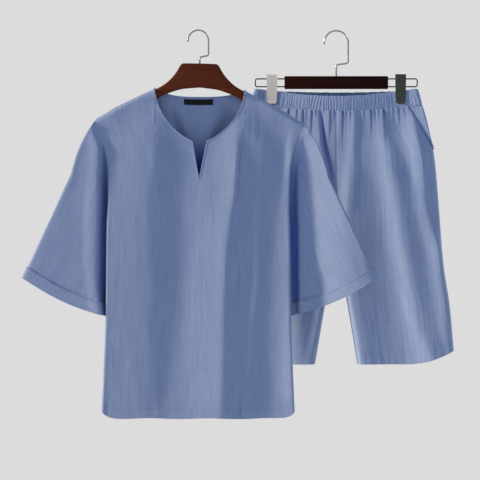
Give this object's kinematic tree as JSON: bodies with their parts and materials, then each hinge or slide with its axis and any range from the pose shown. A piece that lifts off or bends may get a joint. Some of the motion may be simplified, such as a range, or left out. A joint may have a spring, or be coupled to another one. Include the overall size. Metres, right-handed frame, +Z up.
{
  "type": "pyjama set on hangers",
  "caption": "Short-sleeved notched-neck pyjama top on a wooden hanger, with knee-length elastic-waist shorts on a clip hanger behind it, in plain blue slub cloth.",
  "frame": {"origin": "underside of the bend of the shoulder hanger's hook, at its highest point, where a peg carries the top", "axes": "+Z up, -Y towards the front, so the front faces -Y, and +X to the right of someone who looks at the front"},
  "size_m": [0.935, 0.1664, 0.8408],
  "materials": {
    "cloth": "matte slubby plain weave, soft creases",
    "label": "black woven label, blank",
    "wood": "reddish brown, satin varnish",
    "dark_wood": "very dark brown, satin varnish",
    "steel": "bright plated wire",
    "clip_steel": "satin plated strip"
  },
  "bodies": {
    "root": {"top_front": "cloth", "top_back": "cloth", "sleeve_left": "cloth", "sleeve_right": "cloth", "cuff_left": "cloth", "cuff_right": "cloth", "neck_label": "label", "waistband": "cloth", "shorts_front_left": "cloth", "shorts_front_right": "cloth", "shorts_back_left": "cloth", "shorts_back_right": "cloth", "pocket_left": "cloth", "pocket_right": "cloth", "top_hanger": "wood", "top_hook": "steel", "clip_bar": "dark_wood", "clip_hook": "steel", "clip_wire_left": "steel", "clip_wire_right": "steel", "clip_left": "clip_steel", "clip_right": "clip_steel"}
  },
  "joints": []
}
